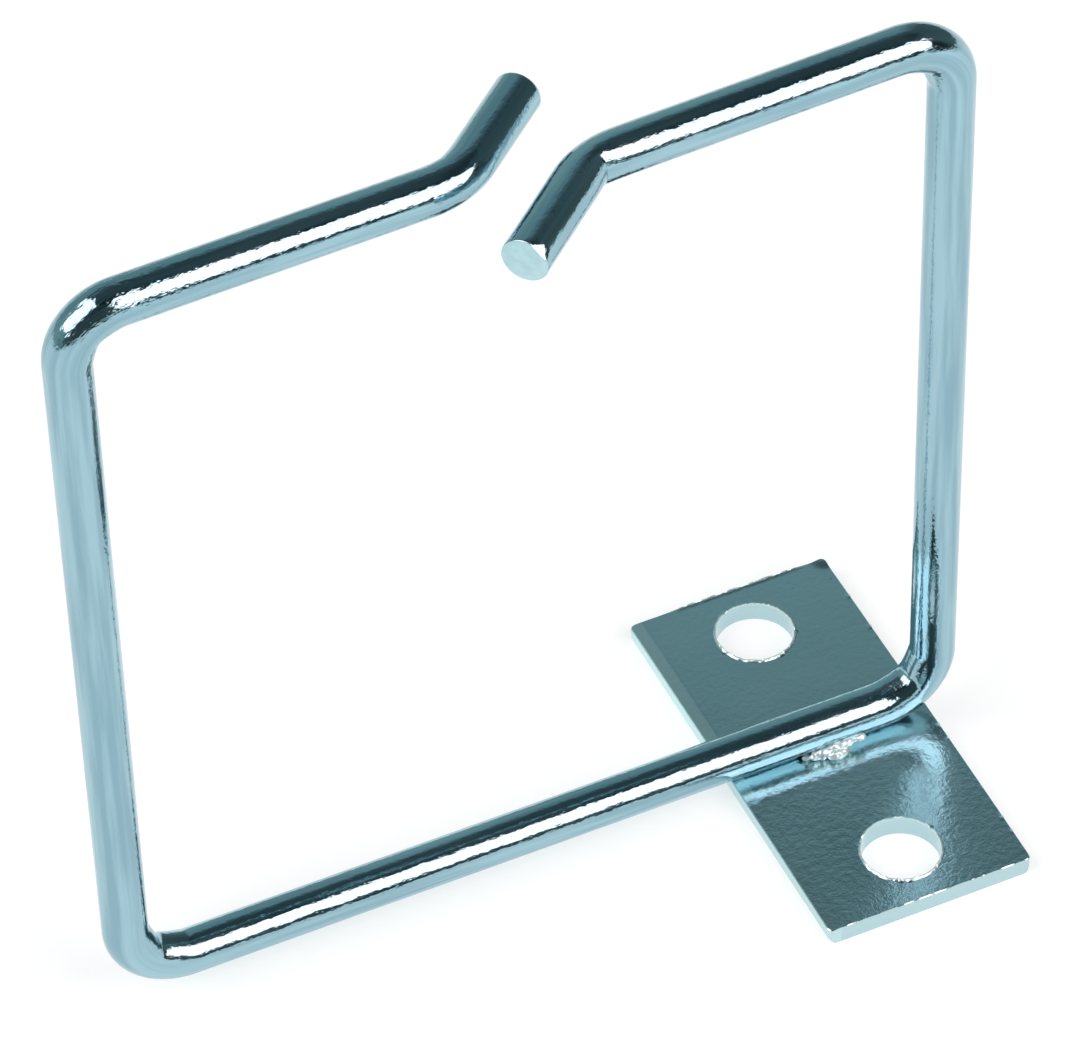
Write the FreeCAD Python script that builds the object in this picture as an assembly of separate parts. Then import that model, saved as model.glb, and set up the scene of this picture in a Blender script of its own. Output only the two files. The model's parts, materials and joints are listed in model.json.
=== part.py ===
import FreeCAD, Part
import math
import os

# A square cable ring: one bent round wire that stands on a flat mounting plate and is welded to it.
# Frame: the origin is the middle of the plate's underside, +X runs along the wire's bottom run,
# +Y along the plate's length and +Z up, so the ring stands in the plane of X and Z.

# Driving dimensions, in millimetres and degrees

# Wire ring, measured outside the wire, and how far it stands out past the plate's edge
ring_width = 80.0
ring_height = 80.0
wire_diameter = 4.0
corner_bend_radius = 5.0
ring_overhang = 2.5

# Entry gap between the two bent ends: its clear width and its distance from the ring's middle
entry_gap = 4.45
entry_offset = 0.4

# Bent ends: how far each top run has swung out of the ring's plane where its end bends away,
# the angle that the ends make with the ring, and their lengths from that bend to the cut face
left_swing = 1.05
right_swing = 1.4
end_angle = 41.0
end_bend_radius = 8.0
left_end_length = 11.6
right_end_length = 12.1
cut_edge_chamfer = 0.3

# Mounting plate, cut from sheet: its long edges are nearly sharp above and rolled over below
plate_width = 19.4
plate_thickness = 2.0
upper_edge_radius = 0.2
lower_edge_radius = 0.8
plan_corner_radius = 0.5

# Punched holes for the screws, and the plate that is left from a hole's middle to the plate's end
hole_diameter = 7.0
hole_spacing = 28.6
hole_end_distance = 5.7

# Tack weld in front of the wire: how far it reaches out past the wire and up its side
weld_length = 5.2
weld_reach = 0.9
weld_height = 1.2


def vector(x, y, z):
    return FreeCAD.Vector(x, y, z)


def round_edges_at(shape, point):
    """The round edges that are centred on a point."""
    found = []
    for edge in shape.Edges:
        if isinstance(edge.Curve, Part.Circle) and edge.Curve.Center.isEqual(point, 1e-4):
            found.append(edge)
    return found


# Wire ring

wire_radius = wire_diameter / 2
bottom_z = plate_thickness + wire_radius
top_z = bottom_z + ring_height - wire_diameter
right_x = plate_width / 2 + ring_overhang - wire_radius
left_x = right_x - (ring_width - wire_diameter)


def wire_corners():
    """The corners of the wire's centreline, from the cut face of the left end to that of the right end."""
    slant = math.radians(end_angle)
    end_direction = vector(math.cos(slant), math.sin(slant), 0)
    # The two ends run side by side, so the distance between their centrelines fixes how far apart
    # their bends lie along the ring.
    centre_distance = entry_gap + wire_diameter
    apart = (centre_distance - (left_swing + right_swing) * math.cos(slant)) / math.sin(slant)
    gap_x = (left_x + right_x) / 2 + entry_offset
    left_bend = vector(gap_x - apart / 2, left_swing, top_z)
    right_bend = vector(gap_x + apart / 2, -right_swing, top_z)
    return [
        left_bend + end_direction * left_end_length,
        left_bend,
        vector(left_x, 0, top_z),
        vector(left_x, 0, bottom_z),
        vector(right_x, 0, bottom_z),
        vector(right_x, 0, top_z),
        right_bend,
        right_bend - end_direction * right_end_length,
    ]


def rounded_path(corners, radii):
    """Straight runs joined by tangent arcs, one arc at each inner corner."""
    edges = []
    start = corners[0]
    for before, corner, after, radius in zip(corners, corners[1:], corners[2:], radii):
        back = (before - corner).normalize()
        ahead = (after - corner).normalize()
        half_turn = (math.pi - back.getAngle(ahead)) / 2
        setback = radius * math.tan(half_turn)
        inwards = (back + ahead).normalize()
        arc_start = corner + back * setback
        arc_middle = corner + inwards * (radius / math.cos(half_turn) - radius)
        arc_end = corner + ahead * setback
        edges.append(Part.LineSegment(start, arc_start).toShape())
        edges.append(Part.Arc(arc_start, arc_middle, arc_end).toShape())
        start = arc_end
    edges.append(Part.LineSegment(start, corners[-1]).toShape())
    return Part.Wire(edges)


def make_wire_ring():
    """The round wire, swept along its bent centreline, with the edges of both cut faces broken."""
    corners = wire_corners()
    first = corners[0]
    last = corners[-1]
    radii = [end_bend_radius] + [corner_bend_radius] * 4 + [end_bend_radius]
    path = rounded_path(corners, radii)
    section = Part.Wire(Part.makeCircle(wire_radius, first, corners[1] - first))
    wire = path.makePipeShell([section], True, False)
    swept_volume = path.Length * math.pi * wire_radius ** 2
    print("wire length %.2f, volume %.2f of %.2f" % (path.Length, wire.Volume, swept_volume))
    return wire.makeChamfer(cut_edge_chamfer, round_edges_at(wire, first) + round_edges_at(wire, last))


# Mounting plate

plate_length = hole_spacing + 2 * hole_end_distance


def rounded_rectangle(width, length, front_radius, back_radius):
    """A flat face in the plane of X and Y, centred on the origin, with its front and back corners rounded."""
    x = width / 2
    y = length / 2
    edges = []
    for sign_x, sign_y in ((1, 1), (-1, 1), (-1, -1), (1, -1)):
        radius = back_radius if sign_y > 0 else front_radius
        bulge = radius * (1 - math.sqrt(0.5))
        on_side = vector(sign_x * x, sign_y * (y - radius), 0)
        on_corner = vector(sign_x * (x - bulge), sign_y * (y - bulge), 0)
        on_end = vector(sign_x * (x - radius), sign_y * y, 0)
        turns_to_end = sign_x == sign_y
        start = on_side if turns_to_end else on_end
        stop = on_end if turns_to_end else on_side
        if edges:
            edges.append(Part.LineSegment(edges[-1].Vertexes[-1].Point, start).toShape())
        edges.append(Part.Arc(start, on_corner, stop).toShape())
    edges.append(Part.LineSegment(edges[-1].Vertexes[-1].Point, edges[0].Vertexes[0].Point).toShape())
    return Part.Face(Part.Wire(edges))


def make_blank():
    """The plate without its holes: its section drawn along Y, inside its outline drawn up from below."""
    rolled_radius = min(lower_edge_radius, 0.7 * plate_thickness)
    section = rounded_rectangle(plate_width, plate_thickness, rolled_radius, upper_edge_radius)
    section.rotate(vector(0, 0, 0), vector(1, 0, 0), 90)
    section.translate(vector(0, plate_length / 2, plate_thickness / 2))
    outline = rounded_rectangle(plate_width, plate_length, plan_corner_radius, plan_corner_radius)
    bar = section.extrude(vector(0, -plate_length, 0))
    return bar.common(outline.extrude(vector(0, 0, plate_thickness)))


def make_mounting_plate():
    """The blank with its two punched holes."""
    plate = make_blank()
    for hole_y in (-hole_spacing / 2, hole_spacing / 2):
        plate = plate.cut(Part.makeCylinder(hole_diameter / 2, plate_thickness, vector(0, hole_y, 0)))
    return plate


# Weld

def make_weld_bead(wire_ring, mounting_plate):
    """A row of lumps in the corner between the wire and the plate, cut back to the faces of both."""
    foot = vector(0, -wire_radius - weld_reach, plate_thickness)
    below_centre = wire_radius - weld_height
    top = vector(0, -math.sqrt(wire_radius ** 2 - below_centre ** 2), plate_thickness + weld_height)
    middle = (foot + top) / 2
    lump_radius = foot.distanceToPoint(top) / 2
    small_lump_radius = 0.85 * lump_radius
    row_length = weld_length - 2 * lump_radius
    steps = 2 * max(1, round(row_length / (2 * lump_radius)))
    lumps = []
    for index in range(steps + 1):
        x = row_length * (index / steps - 0.5)
        radius = small_lump_radius if index % 2 else lump_radius
        lumps.append(Part.makeSphere(radius, middle + vector(x, 0, 0)))
    return lumps[0].multiFuse(lumps[1:]).cut(mounting_plate).cut(wire_ring)


wire_ring = make_wire_ring()
mounting_plate = make_mounting_plate()
weld_bead = make_weld_bead(wire_ring, mounting_plate)

# One file for each piece

nodes = {"wire_ring": wire_ring, "mounting_plate": mounting_plate, "weld_bead": weld_bead}
os.makedirs("parts", exist_ok=True)
for name, shape in nodes.items():
    box = shape.optimalBoundingBox()
    print("%s: solids %d, valid %s, volume %.2f" % (name, len(shape.Solids), shape.isValid(), shape.Volume))
    print("  x %.2f to %.2f, y %.2f to %.2f, z %.2f to %.2f" % (
        box.XMin, box.XMax, box.YMin, box.YMax, box.ZMin, box.ZMax))
    shape.exportStep("parts/%s.step" % name)
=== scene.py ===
# %% [markdown]
# # A square cable ring in bright zinc
# The object is a round steel wire, bent into an open square and welded across a short flat plate.
# Everything is plated with bright zinc, so its looks are almost all reflection: the shape of the bends,
# the small marks that bending and cutting leave, and a studio that gives the metal something to show.
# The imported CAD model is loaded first. It fixes every size and place, and the pieces made here follow it.

# %% Load the frame
import json
import math

import bpy
import numpy as np
from mathutils import Euler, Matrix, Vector, noise


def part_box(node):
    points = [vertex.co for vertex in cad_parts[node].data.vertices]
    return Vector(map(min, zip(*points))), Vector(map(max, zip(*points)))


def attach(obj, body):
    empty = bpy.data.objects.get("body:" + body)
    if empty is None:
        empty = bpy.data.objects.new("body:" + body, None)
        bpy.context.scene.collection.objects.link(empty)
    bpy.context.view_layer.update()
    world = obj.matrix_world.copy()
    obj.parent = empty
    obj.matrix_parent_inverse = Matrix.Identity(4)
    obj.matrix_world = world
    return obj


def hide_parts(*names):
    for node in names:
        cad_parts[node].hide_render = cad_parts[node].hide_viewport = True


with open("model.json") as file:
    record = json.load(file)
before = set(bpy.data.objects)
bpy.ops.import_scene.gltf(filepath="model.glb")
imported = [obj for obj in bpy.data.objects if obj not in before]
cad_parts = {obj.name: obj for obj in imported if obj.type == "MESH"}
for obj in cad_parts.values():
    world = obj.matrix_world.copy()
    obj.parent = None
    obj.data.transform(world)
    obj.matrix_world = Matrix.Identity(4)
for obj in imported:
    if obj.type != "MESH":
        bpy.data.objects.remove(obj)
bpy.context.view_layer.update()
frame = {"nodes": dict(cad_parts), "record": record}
mm = 0.001
for name in sorted(frame["nodes"]):
    low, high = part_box(name)
    print(name, "from", [round(v / mm, 2) for v in low], "to", [round(v / mm, 2) for v in high], "mm")

# %% [markdown]
# ## Working by hand in code
# An operator acts on all that is selected, just as it does under a mouse. A few small helpers keep that safe:
# one clears the selection before a new piece starts, one opens a piece in edit mode, and two pick vertices
# or edges by a rule on their place, which is how a modeller would drag a box over them. Small dents and burrs
# are sculpted by moving many vertices a little, so there are helpers to read and write all of them at once.

# %% Helpers for edit mode


def start_fresh():
    """Leave edit mode and select nothing."""
    if bpy.context.object and bpy.context.object.mode != "OBJECT":
        bpy.ops.object.mode_set(mode="OBJECT")
    bpy.ops.object.select_all(action="DESELECT")


def open_piece(piece, select_mode="VERT"):
    """Open one piece in edit mode with nothing selected."""
    start_fresh()
    piece.select_set(True)
    bpy.context.view_layer.objects.active = piece
    bpy.ops.object.mode_set(mode="EDIT")
    bpy.ops.mesh.select_mode(type=select_mode)
    bpy.ops.mesh.select_all(action="DESELECT")


def close_piece():
    """Go back to object mode."""
    bpy.ops.object.mode_set(mode="OBJECT")


def pick_vertices(piece, rule):
    """Select the vertices whose place fits a rule. Edit mode reads the selection that object mode sets."""
    bpy.ops.object.mode_set(mode="OBJECT")
    for vertex in piece.data.vertices:
        vertex.select = bool(rule(vertex.co))
    bpy.ops.object.mode_set(mode="EDIT")


def pick_edges(piece, rule):
    """Select the edges whose two ends fit a rule."""
    bpy.ops.mesh.select_mode(type="EDGE")
    bpy.ops.mesh.select_all(action="DESELECT")
    bpy.ops.object.mode_set(mode="OBJECT")
    places = piece.data.vertices
    picked = 0
    for edge in piece.data.edges:
        first, second = edge.vertices
        edge.select = bool(rule(places[first].co, places[second].co))
        picked += edge.select
    bpy.ops.object.mode_set(mode="EDIT")
    bpy.ops.mesh.select_mode(type="EDGE")
    return picked


def apply_place(piece):
    """Move the place, turn and scale of a piece into its mesh."""
    start_fresh()
    piece.select_set(True)
    bpy.context.view_layer.objects.active = piece
    bpy.ops.object.transform_apply(location=True, rotation=True, scale=True)


# %% Helpers for sculpting


def read_places(piece):
    """All vertices of a piece as rows of x, y and z."""
    places = np.empty(3 * len(piece.data.vertices))
    piece.data.vertices.foreach_get("co", places)
    return places.reshape(-1, 3)


def write_places(piece, places):
    """Put all vertices of a piece where the rows say."""
    piece.data.vertices.foreach_set("co", places.ravel())
    piece.data.update()


def smooth_step(value, low, high):
    """0 below low, 1 above high, and a soft rise between them."""
    share = np.clip((value - low) / (high - low), 0, 1)
    return share * share * (3 - 2 * share)


def wander(places, size):
    """A soft random value between about -1 and 1 for each place, which changes over the given size."""
    return np.array([noise.noise(Vector(place)) for place in places / size])


merge_distance = 0.0001 * mm


def finish_mesh(piece, angle):
    """Merge doubles, point all faces outwards and smooth what turns by less than an angle in degrees."""
    open_piece(piece)
    bpy.ops.mesh.select_all(action="SELECT")
    bpy.ops.mesh.remove_doubles(threshold=merge_distance)
    bpy.ops.mesh.normals_make_consistent(inside=False)
    close_piece()
    bpy.ops.object.shade_smooth_by_angle(angle=math.radians(angle))


# %% [markdown]
# ## The route of the wire
# A wire bender feeds straight wire, stops, and turns it round a pin. The route is the same list: corners, and
# a bend radius at each of them. It could be drawn as a curve, but a list of runs and bends also tells the
# later steps where on the wire they are. The square's corners come from the box of the CAD wire. The wire
# springs back a little differently each time, so the four corners are not quite equally tight. The two top
# runs have swung a little to the back and to the front, and their ends bend away side by side at one angle,
# which leaves the slanting gap that cables are laid in through.

# %% Corners and bends of the wire
wire_radius = 2.0 * mm
end_bend_radius = 8.0 * mm
upper_left_radius = 4.5 * mm
lower_left_radius = 5.5 * mm
lower_right_radius = 5.2 * mm
upper_right_radius = 5.0 * mm
end_angle = math.radians(41.0)
left_swing = 1.05 * mm
right_swing = 1.4 * mm
entry_gap = 4.45 * mm
entry_offset = 0.4 * mm
left_end_length = 11.6 * mm
right_end_length = 12.1 * mm

wire_low, wire_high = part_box("wire_ring")
left_x = wire_low.x + wire_radius
right_x = wire_high.x - wire_radius
bottom_z = wire_low.z + wire_radius
top_z = wire_high.z - wire_radius

end_direction = Vector((math.cos(end_angle), math.sin(end_angle), 0))
bends_apart = (entry_gap + 2 * wire_radius - (left_swing + right_swing) * end_direction.x) / end_direction.y
gap_x = (left_x + right_x) / 2 + entry_offset
left_bend = Vector((gap_x - bends_apart / 2, left_swing, top_z))
right_bend = Vector((gap_x + bends_apart / 2, -right_swing, top_z))

wire_corners = [
    left_bend + end_direction * left_end_length,
    left_bend,
    Vector((left_x, 0, top_z)),
    Vector((left_x, 0, bottom_z)),
    Vector((right_x, 0, bottom_z)),
    Vector((right_x, 0, top_z)),
    right_bend,
    right_bend - end_direction * right_end_length,
]
corner_radii = [upper_left_radius, lower_left_radius, lower_right_radius, upper_right_radius]
bend_radii = [end_bend_radius] + corner_radii + [end_bend_radius]
print("corners of the wire:", len(wire_corners), "with", len(bend_radii), "bends between them")

# %% The route as runs and bends


def wire_route():
    """The route as a list of runs and bends, each with its start, heading and length along the wire."""
    steps = []
    place = wire_corners[0]
    for before, corner, after, radius in zip(wire_corners, wire_corners[1:], wire_corners[2:], bend_radii):
        heading = (corner - before).normalized()
        next_heading = (after - corner).normalized()
        turn = heading.angle(next_heading)
        setback = radius * math.tan(turn / 2)
        run_end = corner - heading * setback
        axis = heading.cross(next_heading).normalized()
        centre = run_end + axis.cross(heading) * radius
        steps.append({"kind": "run", "start": place, "heading": heading, "length": (run_end - place).length})
        steps.append({"kind": "bend", "start": run_end, "heading": heading, "length": radius * turn,
                      "centre": centre, "axis": axis, "turn": turn, "radius": radius})
        place = corner + next_heading * setback
    last = wire_corners[-1]
    steps.append({"kind": "run", "start": place, "heading": (last - place).normalized(),
                  "length": (last - place).length})
    return steps


route = wire_route()
wire_length = sum(step["length"] for step in route)
print("the wire is", round(wire_length / mm, 1), "mm long, in", len(route), "runs and bends")

# %% [markdown]
# ## The wire itself
# It starts as a circle at the cut face of the left end. Extrude feeds it along a run in short steps, and spin
# turns it round a bend, so the mesh has clean rings of edges that marks can be pressed into later. A bevelled
# curve would be quicker, but its rings crowd together in the bends. Spin turns left-handed here, so the axis
# is reversed.

# %% Feed and bend the wire
wire_sides = 64
run_step = 0.6 * mm
bend_step = 0.3 * mm

start_fresh()
left_cut = wire_corners[0]
right_cut = wire_corners[-1]
left_heading = -route[0]["heading"]
right_heading = route[-1]["heading"]
bpy.ops.mesh.primitive_circle_add(
    vertices=wire_sides, radius=wire_radius, location=left_cut,
    rotation=left_heading.to_track_quat("Z", "Y").to_euler())
wire = bpy.context.object
wire.name = "bent_wire"
apply_place(wire)
open_piece(wire)
bpy.ops.mesh.select_all(action="SELECT")
for step in route:
    if step["kind"] == "run":
        count = max(1, round(step["length"] / run_step))
        advance = step["heading"] * (step["length"] / count)
        for _ in range(count):
            bpy.ops.mesh.extrude_region_move(TRANSFORM_OT_translate={"value": advance})
    else:
        count = round(step["length"] / bend_step)
        bpy.ops.mesh.spin(steps=count, angle=step["turn"], center=step["centre"], axis=-step["axis"])
close_piece()
print("wire:", len(wire.data.vertices) // wire_sides, "rings of", wire_sides)

# %% [markdown]
# ## The two cut faces
# A shear crops the wire to length. The left end's rim has been tumbled nearly round, while the right end kept
# a crisp rim and a small flat facet where the burr was taken off, and this facet catches the light. Filling
# the open rings and bevelling them gives both rims. A boolean could take the facet off too. Bisect keeps more
# of the rings: it draws the facet's outline, and the points that stand proud are then pressed onto it.

# %% Close the cut faces
left_rim_bevel = 0.45 * mm
right_rim_bevel = 0.1 * mm
rim_segments = 6
hair = 0.001 * mm


def close_cut(cut_place, cut_heading, rim_bevel):
    """Fill an open end of the wire and round its rim."""
    open_piece(wire)
    pick_vertices(wire, lambda place: abs((place - cut_place).dot(cut_heading)) < hair
                  and (place - cut_place).length < 1.01 * wire_radius)
    bpy.ops.mesh.edge_face_add()
    bpy.ops.mesh.bevel(offset=rim_bevel, segments=rim_segments, affect="EDGES")
    close_piece()


close_cut(left_cut, left_heading, left_rim_bevel)
close_cut(right_cut, right_heading, right_rim_bevel)
print("wire with closed ends:", len(wire.data.polygons), "faces")

# %% File the facet of the right end
facet_normal = Vector((0.08, -0.75, 0.66)).normalized()
facet_bite = 0.27 * mm
facet_reach = 3.0 * mm

rim_direction = (facet_normal - facet_normal.project(right_heading)).normalized()
facet_place = right_cut + rim_direction * (wire_radius - facet_bite)
open_piece(wire)
pick_vertices(wire, lambda place: (place - right_cut).length < facet_reach)
bpy.ops.mesh.bisect(plane_co=facet_place, plane_no=facet_normal)
close_piece()
places = read_places(wire)
proud = np.clip((places - np.array(facet_place)) @ np.array(facet_normal), 0, None)
proud[np.linalg.norm(places - np.array(right_cut), axis=1) > facet_reach] = 0
write_places(wire, places - (proud / facet_normal.dot(rim_direction))[:, None] * np.array(rim_direction))
open_piece(wire)
bpy.ops.mesh.select_all(action="SELECT")
bpy.ops.mesh.dissolve_degenerate(threshold=hair)
close_piece()
print("points pressed onto the facet:", int((proud > 0).sum()))

# %% [markdown]
# ## Where a point lies on the wire
# Drawing leaves lines along the wire and bending roughens its skin, so the marks and the finish need to know
# where they are on the wire as if it were straight again. Each vertex is measured against every run and bend,
# and the nearest one gives its length along the wire and its two offsets across it.

# %% Straighten the wire in numbers


def turned(vector, axis, angle):
    """A vector turned about an axis by an angle, or by each of a column of angles."""
    on_axis = axis * (axis @ vector)
    return on_axis + np.cos(angle) * (vector - on_axis) + np.sin(angle) * np.cross(axis, vector)


def unbend(places):
    """For each place its length along the wire with two offsets across it, and its offset in space."""
    nearest = np.full(len(places), np.inf)
    unbent = np.zeros((len(places), 3))
    offsets = np.zeros((len(places), 3))
    walked = 0.0
    side = np.array((0.0, 0.0, 1.0))
    for step in route:
        start = np.array(step["start"])
        heading = np.array(step["heading"])
        if step["kind"] == "run":
            along = np.clip((places - start) @ heading, 0, step["length"])
            middle = start + along[:, None] * heading
            heading_here = heading
            side_here = side
        else:
            centre = np.array(step["centre"])
            axis = np.array(step["axis"])
            outward = (start - centre) / step["radius"]
            arm = places - centre
            angle = np.clip(np.arctan2(arm @ heading, arm @ outward), 0, step["turn"])[:, None]
            along = step["radius"] * angle[:, 0]
            middle = centre + step["radius"] * (np.cos(angle) * outward + np.sin(angle) * heading)
            heading_here = np.cos(angle) * heading - np.sin(angle) * outward
            side_here = turned(side, axis, angle)
            side = turned(side, axis, step["turn"])
        offset = places - middle
        distance = np.linalg.norm(offset, axis=1)
        closer = distance < nearest
        measured = np.stack((
            walked + along,
            (offset * side_here).sum(axis=1),
            (offset * np.cross(heading_here, side_here)).sum(axis=1),
        ), axis=1)
        nearest[closer] = distance[closer]
        unbent[closer] = measured[closer]
        offsets[closer] = offset[closer]
        walked += step["length"]
    return unbent, offsets


wire_places = read_places(wire)
unbent, offsets = unbend(wire_places)
print("measured", len(unbent), "vertices along", round(unbent[:, 0].max() / mm, 1), "mm of wire")

# %% [markdown]
# ## Marks of the bender
# A bend that is spun is too perfect. The corners were bent round a pin, which squeezed their inner side into
# two flats with a narrow strip between them. The ends were bent over the edge of a jaw, which pressed one
# crease into their inner side. A sculpting brush could make such marks by eye. Here the skin is pushed away
# from the bend's centre by an amount that depends on the angle, so that each mark has a size: most in the
# middle of the bend, and nothing at its ends. The drawn wire is not quite round either, so its skin wanders.

# %% Press the bends
end_crease_depths = {"left": 0.16 * mm, "right": 0.42 * mm}
flat_push = 0.15 * mm
strip_half_angle = math.radians(4)
bends = [step for step in route if step["kind"] == "bend"]


def press(step, profile):
    """Push the inner side of a bend away from the bend's centre by a profile of the angle from its middle."""
    centre = np.array(step["centre"])
    heading = np.array(step["heading"])
    outward = (np.array(step["start"]) - centre) / step["radius"]
    arm = wire_places - centre
    forwards = arm @ heading
    sideways = arm @ outward
    reach = np.hypot(forwards, sideways)
    on_bend = np.linalg.norm(arm, axis=1) < step["radius"] + wire_radius
    inner_side = np.clip((step["radius"] - reach) / wire_radius, 0, 1)
    angle = np.abs(np.arctan2(forwards, sideways) - step["turn"] / 2)
    push = profile(angle) * inner_side * on_bend
    away = (forwards[:, None] * heading + sideways[:, None] * outward) / reach[:, None]
    wire_places[:] += push[:, None] * away


def crease(step, depth):
    """Press one groove across the inner side of a bend."""
    press(step, lambda angle: depth * np.clip(1 - 2 * angle / step["turn"], 0, 1) ** 2)


def flats(step):
    """Make the inner arc of a bend two flats with a narrow strip between them."""
    inner = step["radius"] - wire_radius
    middle = inner + flat_push
    half = step["turn"] / 2

    def distance(angle):
        return middle * inner * np.sin(half) / (inner * np.sin(half - angle) + middle * np.sin(angle))

    strip = distance(strip_half_angle) * np.cos(strip_half_angle)

    def profile(angle):
        within = np.minimum(angle, half)
        return np.where(angle < strip_half_angle, strip / np.cos(within), distance(within)) - inner

    press(step, profile)


crease(bends[0], end_crease_depths["left"])
crease(bends[-1], end_crease_depths["right"])
for corner_bend in bends[1:-1]:
    flats(corner_bend)
print("pressed", len(bends), "bends")

# %% Let the skin wander
wander_size = 1.3 * mm
wander_height = 0.007 * mm
wander_along = 0.4
wire_smooth_angle = 30

skin_wander = wander(unbent * (wander_along, 1, 1), wander_size)
skin_wander[np.linalg.norm(wire_places - np.array(right_cut), axis=1) < facet_reach] = 0
wire_places += (wander_height * skin_wander / wire_radius)[:, None] * offsets
write_places(wire, wire_places)


def on_facet(place):
    """True for a place on the filed facet of the right end."""
    return abs((place - facet_place).dot(facet_normal)) < hair and (place - right_cut).length < facet_reach


finish_mesh(wire, wire_smooth_angle)
open_piece(wire, "EDGE")
facet_edges = pick_edges(wire, lambda first, second: on_facet(first) and on_facet(second))
bpy.ops.mesh.mark_sharp()
close_piece()
print("edges of the filed facet:", facet_edges)

# %% Keep the measures for the finish
bend_core = 2.0 * mm
bend_fade = 2.5 * mm
rough_bend_fade = 14.0 * mm
bend_marks = [0.3, 1.0, 0.25, 0.1, 0.35, 0.3]

bending = np.zeros(len(unbent))
walked = 0.0
marks_left = iter(bend_marks)
for step in route:
    if step["kind"] == "bend":
        mark = next(marks_left)
        from_middle = unbent[:, 0] - walked - step["length"] / 2
        fade = np.full(len(unbent), bend_fade)
        if mark == max(bend_marks):
            fade[from_middle < 0] = rough_bend_fade
        roughened = mark * (1 - smooth_step(np.abs(from_middle), bend_core, bend_core + fade))
        bending = np.maximum(bending, roughened)
    walked += step["length"]

unbent_layer = wire.data.attributes.new("unbent", "FLOAT_VECTOR", "POINT")
unbent_layer.data.foreach_set("vector", (unbent / mm).ravel())
bending_layer = wire.data.attributes.new("bending", "FLOAT", "POINT")
bending_layer.data.foreach_set("value", bending)
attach(wire, "root")
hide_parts("wire_ring")
print("share of the wire's skin that bending has roughened:", round(float(bending.mean()), 3))

# %% [markdown]
# ## The mounting plate
# A strip that was blanked from sheet steel and punched twice. A box with booleans would have the same
# outline, but its faces would be too few to carry a burr. So it starts as a grid of quarter millimetre cells.
# Squares are taken out for the holes, and their rims are extruded inwards in steps until they are round. The
# sheet is then extruded to its thickness and cut into rows, so that every edge has points to shape.

# %% A grid of cells
plate_low, plate_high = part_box("mounting_plate")
plate_size = plate_high - plate_low
plate_middle = (plate_low + plate_high) / 2
plate_top = plate_high.z
plate_cell = 0.25 * mm

start_fresh()
bpy.ops.mesh.primitive_grid_add(
    x_subdivisions=round(plate_size.x / plate_cell), y_subdivisions=round(plate_size.y / plate_cell), size=1,
    location=(plate_middle.x, plate_middle.y, plate_top))
plate = bpy.context.object
plate.name = "sheared_plate"
plate.scale = (plate_size.x, plate_size.y, 1)
apply_place(plate)
print("sheet:", len(plate.data.polygons), "cells")

# %% Two round holes
hole_sizes = next(mount["dims"] for mount in frame["record"]["mounts"] if mount["name"] == "plate_holes")
hole_radius = hole_sizes["hole_r_mm"] * mm
hole_places = [side * hole_sizes["spacing_y_mm"] * mm / 2 for side in (-1, 1)]
hole_margin = 0.75 * mm
rim_gaps = [gap * mm for gap in (0.45, 0.22, 0.11, 0.05, 0.0)]


def cut_hole(hole_y):
    """Take out a square of cells and lead its rim inwards onto circles, the last one at the hole's edge."""
    centre = Vector((0, hole_y, plate_top))
    square = hole_radius + hole_margin
    rim = square + plate_cell

    def within(place, half_size):
        return max(abs(place.x), abs(place.y - hole_y)) < half_size

    open_piece(plate)
    pick_vertices(plate, lambda place: within(place, square))
    bpy.ops.mesh.delete(type="VERT")
    rim_edges = pick_edges(plate, lambda first, second: within(first, rim) and within(second, rim))
    for gap in rim_gaps:
        bpy.ops.mesh.extrude_edges_move()
        close_piece()
        for vertex in plate.data.vertices:
            if vertex.select:
                vertex.co = centre + (vertex.co - centre).normalized() * (hole_radius + gap)
        bpy.ops.object.mode_set(mode="EDIT")
    close_piece()
    return rim_edges


for hole_y in hole_places:
    print("hole at y", round(hole_y / mm, 2), "mm with", cut_hole(hole_y), "edges round it")

# %% Thickness, rows and a small bevel
row_count = round(plate_size.z / plate_cell)
edge_bevel = 0.08 * mm
tiny = 0.01 * mm

open_piece(plate, "FACE")
bpy.ops.mesh.select_all(action="SELECT")
bpy.ops.mesh.extrude_region_move(TRANSFORM_OT_translate={"value": (0, 0, -plate_size.z)})
pick_edges(plate, lambda first, second: abs(first.z - second.z) > 0.9 * plate_size.z)
bpy.ops.mesh.subdivide(number_cuts=row_count - 1)


def faces_met(place):
    """Which of the plate's ends, long sides, top and, at its ends, underside a place lies on."""
    at_end = abs(abs(place.y) - plate_high.y) < tiny
    at_side = abs(abs(place.x) - plate_high.x) < tiny
    at_top = abs(place.z - plate_top) < tiny
    at_foot = abs(place.z) < tiny and at_end
    return at_end, at_side, at_top, at_foot


def on_sharp_edge(first, second):
    """True for an edge that runs along where two of those faces meet."""
    shared = [one and other for one, other in zip(faces_met(first), faces_met(second))]
    return sum(shared) >= 2


sharp_edges = pick_edges(plate, on_sharp_edge)
bpy.ops.mesh.bevel(offset=edge_bevel, segments=1, affect="EDGES")
close_piece()
print("plate:", sharp_edges, "edges bevelled,", len(plate.data.polygons), "faces")

# %% [markdown]
# ## Blanked and punched edges
# Blanking draws the lower edges round and leaves burrs on the upper ones: a thin torn one that stands up
# along the far end, bright specks along the right side and the near end, and a sharp raised rim round each
# hole. The upper face is crowned a little, and falls away in a narrow strip along its left edge. A bevel
# alone would leave the edges too even, so they are sculpted: each mark moves the vertices near it, by an
# amount that wanders along the edge.

# %% Round the lower edges and the corners
lower_edge_radius = 0.8 * mm
plan_corner_radius = 0.5 * mm
plate_places = read_places(plate)
x, y, z = plate_places.T


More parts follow.
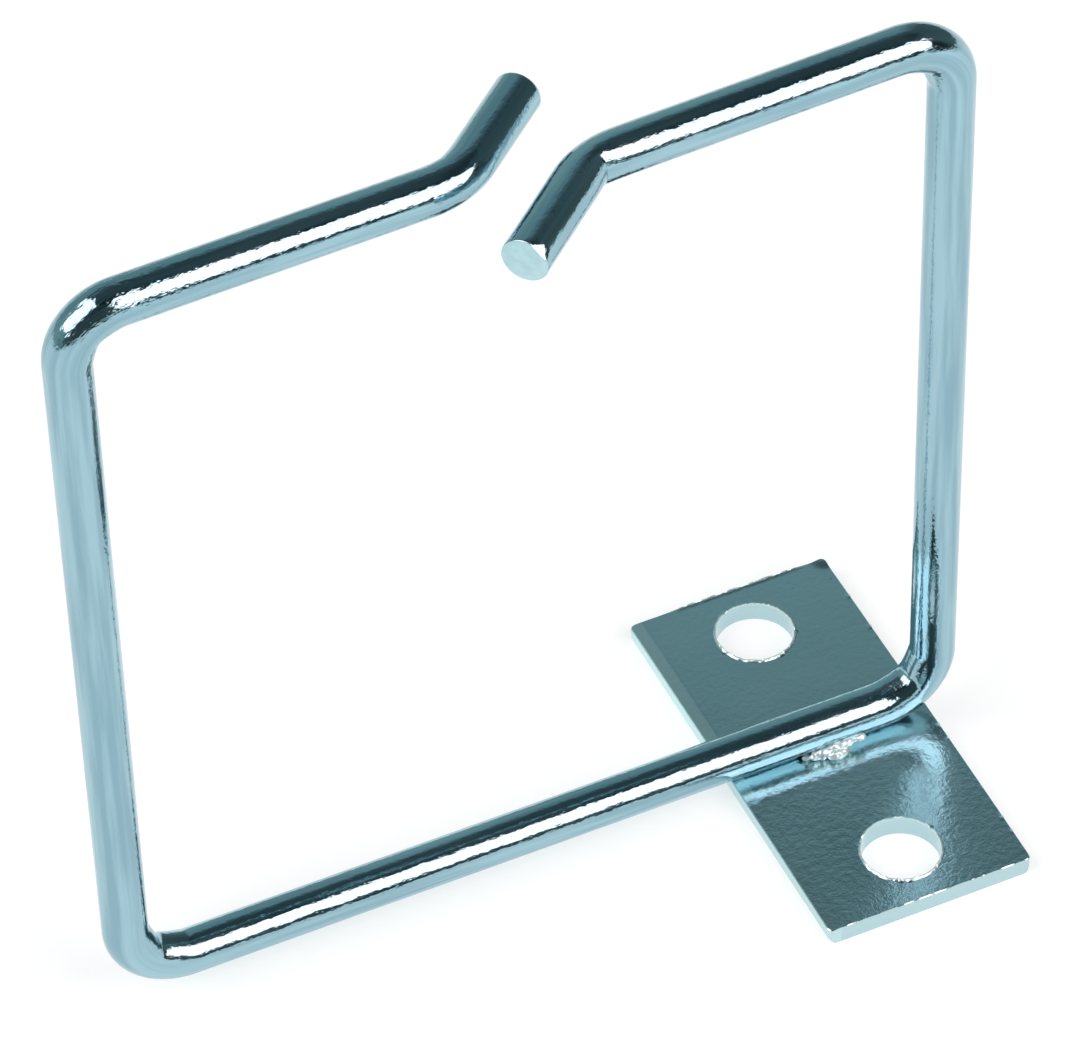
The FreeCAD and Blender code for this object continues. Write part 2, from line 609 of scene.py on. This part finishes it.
def to_arc(over_a, over_b):
    """Move the points of a square corner onto arcs round its inner corner, from which both are measured."""
    corner = (over_a > 0) & (over_b > 0)
    a = over_a[corner]
    b = over_b[corner]
    reach = np.maximum(a, b)
    eighths = np.where(a >= b, b / a, 2 - a / b)
    over_a[corner] = reach * np.cos(eighths * math.pi / 4)
    over_b[corner] = reach * np.sin(eighths * math.pi / 4)
    return over_a, over_b


inner_x = plate_size.x / 2 - lower_edge_radius
over_x, below = to_arc(np.abs(x) - inner_x, lower_edge_radius - z)
x[:] = np.sign(x) * (inner_x + over_x)
z[:] = lower_edge_radius - below
inner_x = plate_size.x / 2 - plan_corner_radius
inner_y = plate_size.y / 2 - plan_corner_radius
over_x, over_y = to_arc(np.abs(x) - inner_x, np.abs(y) - inner_y)
x[:] = np.sign(x) * (inner_x + over_x)
y[:] = np.sign(y) * (inner_y + over_y)
print("lower edges and corners rounded")

# %% Crown and strip
upper = smooth_step(z, plate_middle.z, plate_top)
across = np.stack((x, np.zeros_like(x), np.zeros_like(x)), axis=1)
lengthwise = np.stack((np.zeros_like(y), y, np.zeros_like(y)), axis=1)

crown_height = 0.18 * mm
z -= crown_height * upper * (y / plate_high.y) ** 2

strip_width = 1.15 * mm
strip_slope = 0.05
z -= strip_slope * upper * np.clip(plate_low.x + strip_width - x, 0, None)
print("crown", round(crown_height / mm, 2), "mm high, strip", round(strip_width / mm, 2), "mm wide")

# %% Raised far right corner
corner_lip_height = 0.13 * mm
corner_lip_core = 0.4 * mm
corner_lip_reach = 1.5 * mm
from_corner = np.hypot(x - plate_high.x, y - plate_high.y)
z += corner_lip_height * upper * (1 - smooth_step(from_corner, corner_lip_core, corner_lip_reach))
print("vertices of the raised corner:", int((from_corner < corner_lip_reach).sum()))

# %% Torn burr of the far end
smooth_z = z.copy()
far_burr_height = 0.24 * mm
far_burr_foot = 0.08 * mm
far_burr_starts = (-6.8 * mm, -3.0 * mm)
far_burr_stops = (5.0 * mm, 9.0 * mm)
burr_wave = 1.1 * mm
burr_grain = 0.4 * mm
burr_break = 0.45 * mm
break_shift = 9 * mm
crest_y = plate_high.y - edge_bevel
on_crest = (np.abs(y - crest_y) < tiny) & (upper > 0.5)
on_end = (np.abs(y - plate_high.y) < tiny) & (upper > 0.8)
far_burr = smooth_step(x, *far_burr_starts) * (1 - smooth_step(x, *far_burr_stops))
far_burr *= 0.85 + 0.5 * wander(across, burr_wave) + 0.3 * wander(across, burr_grain)
broken = np.clip(0.6 + 1.2 * wander(across + break_shift, burr_break), 0, 1.2)
z[on_end] += far_burr_height * far_burr[on_end]
z[on_crest] += far_burr_foot * (far_burr * broken)[on_crest]
y[on_crest] += 0.5 * edge_bevel * far_burr[on_crest]
print("vertices along the far burr:", int(on_end.sum() + on_crest.sum()))

# %% Uneven edge of the near end
near_wave_size = 1.3 * mm
near_shift = 5 * mm
near_fill = 0.6 * edge_bevel
near_wave = wander(across + near_shift, near_wave_size)
near_grain = wander(across, burr_grain)
near_edge_left = np.clip(0.65 + 0.9 * near_wave + 0.7 * near_grain, 0, 1)
at_near_top = (np.abs(y + crest_y) < tiny) & (upper > 0.5)
y[at_near_top] -= near_fill * near_edge_left[at_near_top]
print("vertices along the near edge:", int(at_near_top.sum()))

# %% Burrs of the right side
side_burr_height = 0.12 * mm
side_burr_size = 0.6 * mm
side_burr_foot = 9.4 * mm
side_burr_top = 9.56 * mm
side_burr = smooth_step(wander(lengthwise, side_burr_size), 0.25, 0.55)
z += side_burr_height * side_burr * upper * smooth_step(x, side_burr_foot, side_burr_top)
print("share of the right side that has burrs:", round(float(side_burr.mean()), 2))

# %% Raised rims
rim_height = 0.2 * mm
rim_crest = 0.08 * mm
rim_width = 0.2 * mm
rim_ripple_size = 0.3 * mm
rim_roots = (plate_top - 0.24 * mm, plate_top - 0.2 * mm)
rim_ripple = wander(plate_places, rim_ripple_size)
for hole_y in hole_places:
    from_rim = np.hypot(x, y - hole_y) - hole_radius
    height = rim_height * (0.7 + 0.9 * rim_ripple) * (1 - smooth_step(from_rim, rim_crest, rim_width))
    z += height * smooth_step(z, *rim_roots)
print("highest point", round((float(z.max()) - plate_top) / mm, 2), "mm above the plate's face")

# %% Keep what is torn, and finish the plate
torn_height = 0.06 * mm
flatness = 0.012 * mm
flatness_size = 4.5 * mm
plate_smooth_angle = 33

torn_layer = plate.data.attributes.new("torn", "FLOAT", "POINT")
torn_layer.data.foreach_set("value", np.clip((z - smooth_z) / torn_height, 0, 1))
z += flatness * upper * wander(plate_places, flatness_size)
write_places(plate, plate_places)
finish_mesh(plate, plate_smooth_angle)
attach(plate, "root")
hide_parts("mounting_plate")
plate_span = plate_places.max(axis=0) - plate_places.min(axis=0)
print("plate spans", [round(float(length) / mm, 2) for length in plate_span], "mm")

# %% [markdown]
# ## The tack weld
# One short bead, in the corner where the wire stands on the plate. Molten metal freezes in overlapping lumps:
# a rope of small ones along the wire, a thin foot under it, a tip that runs out at the left, and one big
# smooth lobe in front where the torch was lifted. Metaballs would melt the lumps into one, so overlapping
# spheres are joined instead, and a voxel remesh turns them into one skin that keeps the crevices. Its foot is
# then pressed flat, just under the plate's face.

# %% Lumps of the weld
weld_low, weld_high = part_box("weld_bead")
rope_radius = 0.42 * mm
rope_count = 13
foot_radius = 0.36 * mm
foot_count = 8
lump_stretch = 1.4
lump_swell = 0.12
lump_sway = 0.05 * mm
lobe_radius = 0.58 * mm
lobe_stretch = 1.8
lobe_place = Vector((-0.1 * mm, -2.45 * mm, 2.5 * mm))
tip_radius = 0.3 * mm
tip_stretch = 2.4
tip_place = Vector((-2.5 * mm, -1.5 * mm, 2.26 * mm))


def add_lump(place, radius, stretching):
    """A round lump that is drawn out along the wire."""
    bpy.ops.mesh.primitive_ico_sphere_add(subdivisions=4, radius=radius, location=place)
    bpy.context.object.scale = (stretching, 1, 1)
    return bpy.context.object


def row_of_lumps(count, start, stop, radius):
    """Lumps side by side that start small, and whose size and height sway a little along the row."""
    lumps = []
    for index in range(count):
        share = index / (count - 1)
        size = radius * (1 + lump_swell * math.sin(11 * share + 1)) * min(1, 0.5 + 2 * share)
        sway = lump_sway * math.sin(17 * share)
        lumps.append(add_lump(start.lerp(stop, share) + Vector((0, sway, sway)), size, lump_stretch))
    return lumps


# %% Rope, foot, lobe and tip
start_fresh()
rope_left = Vector((weld_low.x + 0.1 * mm, -1.9 * mm, 2.6 * mm))
rope_right = Vector((weld_high.x - rope_radius, -2.1 * mm, 3.25 * mm))
foot_left = Vector((weld_low.x + 0.4 * mm, -1.95 * mm, 2.25 * mm))
foot_right = Vector((0.9 * mm, -2.0 * mm, 2.5 * mm))
lumps = row_of_lumps(rope_count, rope_left, rope_right, rope_radius)
lumps += row_of_lumps(foot_count, foot_left, foot_right, foot_radius)
lumps.append(add_lump(lobe_place, lobe_radius, lobe_stretch))
lumps.append(add_lump(tip_place, tip_radius, tip_stretch))
start_fresh()
for lump in lumps:
    lump.select_set(True)
weld = lumps[0]
bpy.context.view_layer.objects.active = weld
bpy.ops.object.join()
weld.name = "tack_weld"
apply_place(weld)
print("weld:", len(lumps), "lumps joined")

# %% One skin over the lumps
weld_voxel = 0.07 * mm
soften_factor = 0.5
soften_rounds = 9
weld_wander = 0.08 * mm
grain_up = 0.35 * mm
grain_out = 0.3 * mm
grain_shift = 3 * mm
foot_sink = 0.03 * mm
weld_smooth_angle = 50

remesh = weld.modifiers.new("one_skin", "REMESH")
remesh.mode = "VOXEL"
remesh.voxel_size = weld_voxel
bpy.ops.object.modifier_apply(modifier=remesh.name)
soften = weld.modifiers.new("soften", "SMOOTH")
soften.factor = soften_factor
soften.iterations = soften_rounds
bpy.ops.object.modifier_apply(modifier=soften.name)
weld_places = read_places(weld)
weld_places[:, 2] += weld_wander * wander(weld_places, grain_up)
weld_places[:, 1] += weld_wander * wander(weld_places + grain_shift, grain_out)
weld_places[:, 2] = np.maximum(weld_places[:, 2], plate_top - foot_sink)
write_places(weld, weld_places)
finish_mesh(weld, weld_smooth_angle)
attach(weld, "root")
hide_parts("weld_bead")
print("weld:", len(weld.data.polygons), "faces")

# %% [markdown]
# ## Building materials from small parts
# Bright zinc is a mirror with a faint blue cast. What makes it zinc and not chrome are its small faults: a
# skin like orange peel, lines from drawing and rolling, and pits. The pieces share these faults at different
# sizes. They could be wired anew in each material, but then a change has to be made in all of them, so each
# fault is one shader node group. A few helpers keep the wiring short: each makes one node, feeds it with
# numbers or with other nodes' outputs, and hands back its output.

# %% Helpers for shader nodes


def feed(tree, socket, value):
    """Link a socket to another node's output, or set its own value."""
    if isinstance(value, bpy.types.NodeSocket):
        tree.links.new(value, socket)
    else:
        socket.default_value = value


def calculate(tree, operation, *values):
    """One step of arithmetic."""
    node = tree.nodes.new("ShaderNodeMath")
    node.operation = operation
    for socket, value in zip(node.inputs, values):
        feed(tree, socket, value)
    return node.outputs[0]


def stretch(tree, vector, factors):
    """A place whose three axes are each scaled by a factor."""
    node = tree.nodes.new("ShaderNodeVectorMath")
    node.operation = "MULTIPLY"
    feed(tree, node.inputs[0], vector)
    feed(tree, node.inputs[1], factors)
    return node.outputs[0]


def clouds(tree, vector, size, detail=1.0):
    """Soft noise between 0 and 1 whose blots have about the given size."""
    node = tree.nodes.new("ShaderNodeTexNoise")
    feed(tree, node.inputs["Vector"], vector)
    feed(tree, node.inputs["Scale"], calculate(tree, "DIVIDE", 1.0, size))
    feed(tree, node.inputs["Detail"], detail)
    return node.outputs["Fac"]


def ramp(tree, value, low, high, from_level=0.0, to_level=1.0):
    """A soft step from one level to another while a value goes from low to high."""
    node = tree.nodes.new("ShaderNodeMapRange")
    node.interpolation_type = "SMOOTHSTEP"
    for label, number in (("Value", value), ("From Min", low), ("From Max", high),
                          ("To Min", from_level), ("To Max", to_level)):
        feed(tree, node.inputs[label], number)
    return node.outputs["Result"]


def blend_colours(tree, share, first, second):
    """A colour that goes from the first to the second as the share goes from 0 to 1."""
    node = tree.nodes.new("ShaderNodeMix")
    node.data_type = "RGBA"
    feed(tree, node.inputs["Factor"], share)
    feed(tree, node.inputs["A"], first)
    feed(tree, node.inputs["B"], second)
    return node.outputs["Result"]


# %% Helpers for node groups


def new_group(name, inputs, outputs):
    """An empty node group with named inputs and value outputs, and its two end nodes."""
    tree = bpy.data.node_groups.new(name, "ShaderNodeTree")
    for label, value in inputs.items():
        kind = "NodeSocketVector" if value is None else "NodeSocketFloat"
        socket = tree.interface.new_socket(label, in_out="INPUT", socket_type=kind)
        if value is not None:
            socket.default_value = value
    for label in outputs:
        tree.interface.new_socket(label, in_out="OUTPUT", socket_type="NodeSocketFloat")
    return tree, tree.nodes.new("NodeGroupInput").outputs, tree.nodes.new("NodeGroupOutput").inputs


def use_group(tree, group, **values):
    """Place a group in a material, with its own values."""
    node = tree.nodes.new("ShaderNodeGroup")
    node.node_tree = group
    for label, value in values.items():
        feed(tree, node.inputs[label.replace("_", " ")], value)
    return node.outputs


# %% Orange peel, drawn lines and pits
fine_to_coarse = 0.35
tone_to_coarse = 11.0
along_lines = (0.03, 1.0, 1.0)


def make_orange_peel():
    """Soft dimples with finer ones on them. Height is from -1 to 1, Tone drifts slowly from 0 to 1."""
    tree, inputs, outputs = new_group(
        "orange_peel", {"Place": None, "Size": 0.6, "Fine share": 0.3}, ("Height", "Tone"))
    place = inputs["Place"]
    coarse = clouds(tree, place, inputs["Size"])
    fine = clouds(tree, place, calculate(tree, "MULTIPLY", inputs["Size"], fine_to_coarse))
    fine_part = calculate(tree, "MULTIPLY", calculate(tree, "SUBTRACT", fine, 0.5), inputs["Fine share"])
    both = calculate(tree, "ADD", calculate(tree, "SUBTRACT", coarse, 0.5), fine_part)
    feed(tree, outputs["Height"], calculate(tree, "MULTIPLY", both, 2.0))
    tone_size = calculate(tree, "MULTIPLY", inputs["Size"], tone_to_coarse)
    feed(tree, outputs["Tone"], clouds(tree, place, tone_size, 2.0))
    return tree


def make_drawn_lines():
    """Fine lines along the first axis of the place. Height is from -1 to 1."""
    tree, inputs, outputs = new_group("drawn_lines", {"Place": None, "Spacing": 0.25}, ("Height",))
    drawn_out = stretch(tree, inputs["Place"], along_lines)
    lines = clouds(tree, drawn_out, inputs["Spacing"], 3.0)
    feed(tree, outputs["Height"], calculate(tree, "MULTIPLY", calculate(tree, "SUBTRACT", lines, 0.5), 2.0))
    return tree


def make_pits():
    """Small round pits. Mask is 1 in a pit and 0 between them, and Share says how many cells have one."""
    tree, inputs, outputs = new_group(
        "pits", {"Place": None, "Spacing": 1.5, "Size": 0.1, "Share": 0.1}, ("Mask",))
    cells = tree.nodes.new("ShaderNodeTexVoronoi")
    feed(tree, cells.inputs["Vector"], inputs["Place"])
    feed(tree, cells.inputs["Scale"], calculate(tree, "DIVIDE", 1.0, inputs["Spacing"]))
    distance = calculate(tree, "MULTIPLY", cells.outputs["Distance"], inputs["Spacing"])
    inside = ramp(tree, distance, 0.0, inputs["Size"], 1.0, 0.0)
    draw = tree.nodes.new("ShaderNodeSeparateColor")
    feed(tree, draw.inputs[0], cells.outputs["Color"])
    chosen = calculate(tree, "LESS_THAN", draw.outputs[0], inputs["Share"])
    feed(tree, outputs["Mask"], calculate(tree, "MULTIPLY", inside, chosen))
    return tree


orange_peel = make_orange_peel()
drawn_lines = make_drawn_lines()
pits = make_pits()
print("shader groups:", [group.name for group in bpy.data.node_groups])

# %% [markdown]
# ## The zinc finishes
# Zinc sends back less red light than blue. Each piece drifts between two colours of its own, darkest on the
# wire and palest on the weld. A pale, dull colour is mixed in where the zinc shows wear: on the wire's cut
# faces, on the plate's torn burrs, and all over the weld. Along the strip at the plate's left edge the same
# colour is a painted sheen, stronger towards the far end, for the brighter light that the sloping strip sends
# back. Heights are in millimetres, because the places that the groups read are too. The wire reads its
# straightened place, so its lines and stains follow the bends, and its peel grows coarser where it was bent.

# %% A finish of zinc
wire_colours = ((0.25, 0.42, 0.49, 1), (0.345, 0.545, 0.615, 1))
plate_colours = ((0.43, 0.61, 0.64, 1), (0.48, 0.67, 0.7, 1))
weld_colours = ((0.6, 0.84, 0.88, 1), (0.75, 0.95, 0.97, 1))
# A pale colour for wear, which is also the painted sheen on the plate's strip.
wear_and_sheen_colour = (0.62, 0.86, 0.87, 1)
wire_roughness = (0.07, 0.13)
plate_roughness = (0.16, 0.21)
weld_roughness = (0.16, 0.26)
wear_and_sheen_roughness = 0.16


def zinc_finish(name, colours, roughness_levels, faults):
    """A material that drifts with a tone, goes paler and duller on wear and painted sheen, and has the given
    faults.
    """
    material = bpy.data.materials.new(name)
    material.use_nodes = True
    tree = material.node_tree
    shader = tree.nodes["Principled BSDF"]
    height, tone, wear_and_sheen, metal = faults(tree)
    drifting = blend_colours(tree, tone, *colours)
    # Pale where there is wear, and pale on the plate's strip as a painted sheen.
    feed(tree, shader.inputs["Base Color"], blend_colours(tree, wear_and_sheen, drifting, wear_and_sheen_colour))
    roughness = ramp(tree, tone, 0.25, 0.75, *roughness_levels)
    feed(tree, shader.inputs["Roughness"], calculate(tree, "MULTIPLY_ADD", wear_and_sheen, wear_and_sheen_roughness, roughness))
    feed(tree, shader.inputs["Metallic"], metal)
    bump = tree.nodes.new("ShaderNodeBump")
    bump.inputs["Distance"].default_value = mm
    bump.inputs["Strength"].default_value = 1
    feed(tree, bump.inputs["Height"], height)
    feed(tree, shader.inputs["Normal"], bump.outputs["Normal"])
    return material


def attribute_of(tree, name):
    """The outputs of a value that was kept with the mesh."""
    node = tree.nodes.new("ShaderNodeAttribute")
    node.attribute_name = name
    return node.outputs


def object_place(tree):
    """The place on a piece in millimetres."""
    node = tree.nodes.new("ShaderNodeTexCoord")
    return stretch(tree, node.outputs["Object"], (1 / mm, 1 / mm, 1 / mm))


def axes_of(tree, place):
    """The three axes of a place, each as an output of its own."""
    node = tree.nodes.new("ShaderNodeSeparateXYZ")
    feed(tree, node.inputs[0], place)
    return node.outputs


# %% Zinc on the wire
pit_depth = 0.02
wire_peel_heights = (0.01, 0.026)
wire_peel_shape = (0.5, 1.0, 1.0)
wire_line_height = 0.0016
stain_shape = (0.05, 1.0, 1.0)
stain_size = 0.9
cut_worn = 0.45
cut_full = 0.02
cut_none = 0.06


def wire_faults(tree):
    """Height, tone, wear and metal of the wire: coarser skin in the bends, and cut faces that show wear."""
    place = attribute_of(tree, "unbent")["Vector"]
    bending = attribute_of(tree, "bending")["Fac"]
    skin = use_group(
        tree, orange_peel, Place=stretch(tree, place, wire_peel_shape), Size=0.45, Fine_share=0.5)
    lines = use_group(tree, drawn_lines, Place=place, Spacing=0.3)
    stains = clouds(tree, stretch(tree, place, stain_shape), stain_size, 3.0)
    holes = use_group(tree, pits, Place=place, Spacing=1.6, Size=0.16, Share=0.06)
    peel_height = ramp(tree, bending, 0.0, 1.0, *wire_peel_heights)
    height = calculate(tree, "MULTIPLY", skin["Height"], peel_height)
    height = calculate(tree, "MULTIPLY_ADD", lines["Height"], wire_line_height, height)
    height = calculate(tree, "MULTIPLY_ADD", holes["Mask"], -pit_depth, height)
    along = axes_of(tree, place)["X"]
    far_end = wire_length / mm
    left_face = ramp(tree, along, cut_full, cut_none, cut_worn, 0.0)
    right_face = ramp(tree, along, far_end - cut_none, far_end - cut_full, 0.0, cut_worn)
    return height, ramp(tree, stains, 0.35, 0.65), calculate(tree, "MAXIMUM", left_face, right_face), 1.0


def dress(piece, material):
    """Give a piece one material and no other."""
    piece.data.materials.clear()
    piece.data.materials.append(material)


dress(wire, zinc_finish("zinc_on_wire", wire_colours, wire_roughness, wire_faults))
print("finish:", wire.data.materials[0].name)

# %% Zinc on the plate
plate_peel_heights = (0.011, 0.0035)
plate_peel_change = (-6.0, 6.0)
plate_line_height = 0.0015
# Painted sheen on the left strip: how pale it is painted, how soft its edge, and where along the plate it
# grows.
strip_sheen = 0.9
strip_soft_edge = 0.08
strip_sheen_change = (-6.0, 2.0)
torn_scatter = 0.35


def plate_faults(tree):
    """Height, tone, wear and sheen, and metal of the plate: smoother far end, painted sheen on the strip,
    wear on the burrs.
    """
    place = object_place(tree)
    skin = use_group(tree, orange_peel, Place=place, Size=0.6, Fine_share=0.5)
    mapping = tree.nodes.new("ShaderNodeMapping")
    mapping.inputs["Rotation"].default_value = (0, 0, math.pi / 2)
    feed(tree, mapping.inputs["Vector"], place)
    lines = use_group(tree, drawn_lines, Place=mapping.outputs["Vector"], Spacing=0.4)
    holes = use_group(tree, pits, Place=place, Spacing=1.8, Size=0.14, Share=0.08)
    axes = axes_of(tree, place)
    peel_height = ramp(tree, axes["Y"], *plate_peel_change, *plate_peel_heights)
    height = calculate(tree, "MULTIPLY", skin["Height"], peel_height)
    height = calculate(tree, "MULTIPLY_ADD", lines["Height"], plate_line_height, height)
    height = calculate(tree, "MULTIPLY_ADD", holes["Mask"], -pit_depth, height)
    # Painted sheen: the left strip is painted paler and duller, more so towards the far end.
    strip_edge = (plate_low.x + strip_width) / mm
    strip = ramp(tree, axes["X"], strip_edge - strip_soft_edge, strip_edge + strip_soft_edge, strip_sheen, 0.0)
    strip = calculate(tree, "MULTIPLY", strip, ramp(tree, axes["Y"], *strip_sheen_change, 0.3, 1.0))
    torn = attribute_of(tree, "torn")["Fac"]
    metal = calculate(tree, "MULTIPLY_ADD", torn, -torn_scatter, 1.0)
    return height, skin["Tone"], calculate(tree, "MAXIMUM", strip, torn), metal


dress(plate, zinc_finish("zinc_on_plate", plate_colours, plate_roughness, plate_faults))
print("finish:", plate.data.materials[0].name)

# %% Zinc on the weld
weld_peel_height = 0.006
weld_worn = 0.4
weld_metal = 0.5


def weld_faults(tree):
    """Height, tone, wear and metal of the weld: a frosted skin with wear all over."""
    skin = use_group(tree, orange_peel, Place=object_place(tree), Size=0.35, Fine_share=0.5)
    height = calculate(tree, "MULTIPLY", skin["Height"], weld_peel_height)
    return height, skin["Tone"], weld_worn, weld_metal


dress(weld, zinc_finish("zinc_on_weld", weld_colours, weld_roughness, weld_faults))
print("finish:", weld.data.materials[0].name)

# %% [markdown]
# ## Studio
# Polished metal shows what is around it, so the studio is half of the finish. The pale floor is what the
# wire's sides show, and a light panel in front on the right is the bright stripe along its runs. A second
# panel stands up on the left. The world is dimmer overhead, in front and on the right, and the dark stripes
# show that. The floor glows just enough that it reads as white where nothing shades it, to the eye and in the
# metal, and it still takes the object's shadow.

# %% Floor
floor_half_size = 4.0
floor_drop = 0.02 * mm
floor_grey = (0.44, 0.52, 0.52, 1)
floor_glow = 0.63

start_fresh()
bpy.ops.mesh.primitive_plane_add(size=2 * floor_half_size, location=(0, 0, -floor_drop))
floor = bpy.context.object
floor.name = "floor"
apply_place(floor)
floor_material = bpy.data.materials.new("pale_floor")
floor_material.use_nodes = True
tree = floor_material.node_tree
tree.nodes.clear()
diffuse = tree.nodes.new("ShaderNodeBsdfDiffuse")
diffuse.inputs["Color"].default_value = floor_grey
rays = tree.nodes.new("ShaderNodeLightPath").outputs
seen = calculate(tree, "MAXIMUM", rays["Is Camera Ray"], rays["Is Glossy Ray"])
seen = calculate(tree, "MAXIMUM", seen, rays["Is Transmission Ray"])
glow = tree.nodes.new("ShaderNodeEmission")
feed(tree, glow.inputs["Strength"], calculate(tree, "MULTIPLY", seen, floor_glow))
both = tree.nodes.new("ShaderNodeAddShader")
feed(tree, both.inputs[0], diffuse.outputs[0])
feed(tree, both.inputs[1], glow.outputs[0])
feed(tree, tree.nodes.new("ShaderNodeOutputMaterial").inputs["Surface"], both.outputs[0])
dress(floor, floor_material)
print("floor:", 2 * floor_half_size, "m across")

# %% Light panels
ring_centre = Vector(((left_x + right_x) / 2, 0, (bottom_z + top_z) / 2))
panel_colour = (1.0, 0.77, 0.77)


def add_panel(name, middle, width, height, radiance):
    """A rectangular lamp at a place, still unturned. Radiance 1 would look white."""
    lamp = bpy.data.lights.new(name, "AREA")
    lamp.shape = "RECTANGLE"
    lamp.size = width
    lamp.size_y = height
    lamp.color = panel_colour
    lamp.energy = radiance * math.pi * width * height
    panel = bpy.data.objects.new(name, lamp)
    panel.location = middle
    bpy.context.scene.collection.objects.link(panel)
    return panel


# %% Front panel and side panel
front_radiance = 3.8
front_left = -0.02
front_right = 0.64
front_foot = Vector((0, -0.6, 0.22))
front_head = Vector((0, -0.23, 0.51))
front_slope = front_head - front_foot
front_middle = (front_foot + front_head) / 2 + Vector(((front_left + front_right) / 2, 0, 0))
front = add_panel("front_panel", front_middle, front_right - front_left, front_slope.length, front_radiance)
front.rotation_euler = (math.atan2(front_slope.z, front_slope.y), 0, 0)

side_radiance = 3.4
side_distance = 0.9
side_size = 0.8
side_middle = ring_centre + Vector((-1, 0, 1)).normalized() * side_distance
side = add_panel("side_panel", side_middle, side_size, side_size, side_radiance)
side.rotation_euler = (math.radians(45), 0, math.radians(-90))
print("lamps:", front.name, "and", side.name)

# %% World
world_colours = [
    (0.0, (0.35, 0.45, 0.44)),
    (0.26, (0.33, 0.44, 0.43)),
    (0.5, (0.28, 0.40, 0.41)),
    (0.68, (0.255, 0.37, 0.4)),
    (0.715, (0.23, 0.335, 0.365)),
    (0.765, (0.13, 0.19, 0.205)),
    (0.87, (0.06, 0.085, 0.09)),
    (1.0, (0.065, 0.095, 0.1)),
]
front_level = 0.2
front_fade = (-0.15, -0.5)
right_level = 0.3
right_fade = (0.3, 0.65)

world = bpy.data.worlds.new("studio")
bpy.context.scene.world = world
world.use_nodes = True
tree = world.node_tree
aim = tree.nodes.new("ShaderNodeSeparateXYZ")
feed(tree, aim.inputs[0], tree.nodes.new("ShaderNodeTexCoord").outputs["Generated"])
levels = tree.nodes.new("ShaderNodeValToRGB")
feed(tree, levels.inputs["Fac"], aim.outputs["Z"])
stops = levels.color_ramp.elements
for position, _ in world_colours[1:-1]:
    stops.new(position)
for stop, (position, colour) in zip(stops, world_colours):
    stop.position = position
    stop.color = (*colour, 1)
to_front = ramp(tree, aim.outputs["Y"], *front_fade, 1.0, front_level)
to_right = ramp(tree, aim.outputs["X"], *right_fade, 1.0, right_level)
shade = calculate(tree, "MULTIPLY", to_front, to_right)
lit = blend_colours(tree, shade, (0, 0, 0, 1), levels.outputs["Color"])
feed(tree, tree.nodes["Background"].inputs["Color"], lit)
print("world:", len(stops), "colours from the horizon up")

# %% [markdown]
# ## Camera
# A long lens looks down from the front left, so that all runs of the ring and the plate's upper face are seen
# at once. A shorter lens would have to stand closer, and the near corner of the ring would look too large.

# %% Camera
camera_place = Vector((-172.46, -334.33, 411.11)) * mm
camera_turn = Euler([math.radians(angle) for angle in (44.566, 1.21, -24.709)], "XYZ")
camera_lens = 213.13
camera_sensor = 36.0

camera = bpy.data.cameras.new("camera")
camera.sensor_fit = "HORIZONTAL"
camera.sensor_width = camera_sensor
camera.lens = camera_lens
camera.clip_start = 0.01
camera.clip_end = 20.0
viewer = bpy.data.objects.new("camera", camera)
viewer.location = camera_place
viewer.rotation_euler = camera_turn
bpy.context.scene.collection.objects.link(viewer)
bpy.context.scene.camera = viewer
bpy.context.scene.view_settings.view_transform = "Standard"
print("camera:", camera_lens, "mm lens,", round((camera_place - ring_centre).length, 2), "m from the ring")
